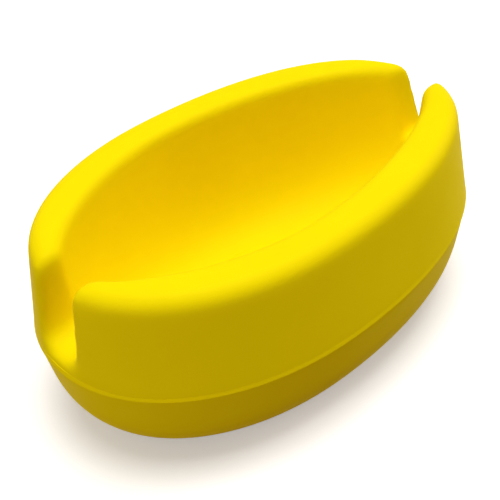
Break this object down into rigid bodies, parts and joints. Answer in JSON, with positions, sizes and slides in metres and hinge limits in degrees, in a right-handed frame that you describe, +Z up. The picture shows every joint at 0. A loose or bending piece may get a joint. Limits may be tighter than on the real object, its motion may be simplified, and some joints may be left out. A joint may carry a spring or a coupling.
{
  "type": "method feeder mould",
  "caption": "Oval soft-rubber press mould for flat method feeders, with a dished cavity, a stem slot in one end wall, a narrower line slot in the other and a push-up floor.",
  "frame": {"origin": "centre of the foot's face on the table, under the middle of the cavity", "axes": "+X along the length through both end slots, +Y across, +Z up out of the cavity"},
  "size_m": [0.064, 0.0414, 0.0262],
  "materials": {
    "yellow_rubber": "satin"
  },
  "bodies": {
    "mould": {"mould_body": "yellow_rubber"},
    "floor": {"release_floor": "yellow_rubber"}
  },
  "joints": [
    {"name": "floor_push", "type": "slide", "parent": "mould", "child": "floor", "axis": [0, 0, 1], "range_m": [0, 0.005], "stiffness_N_per_m": 1500}
  ]
}
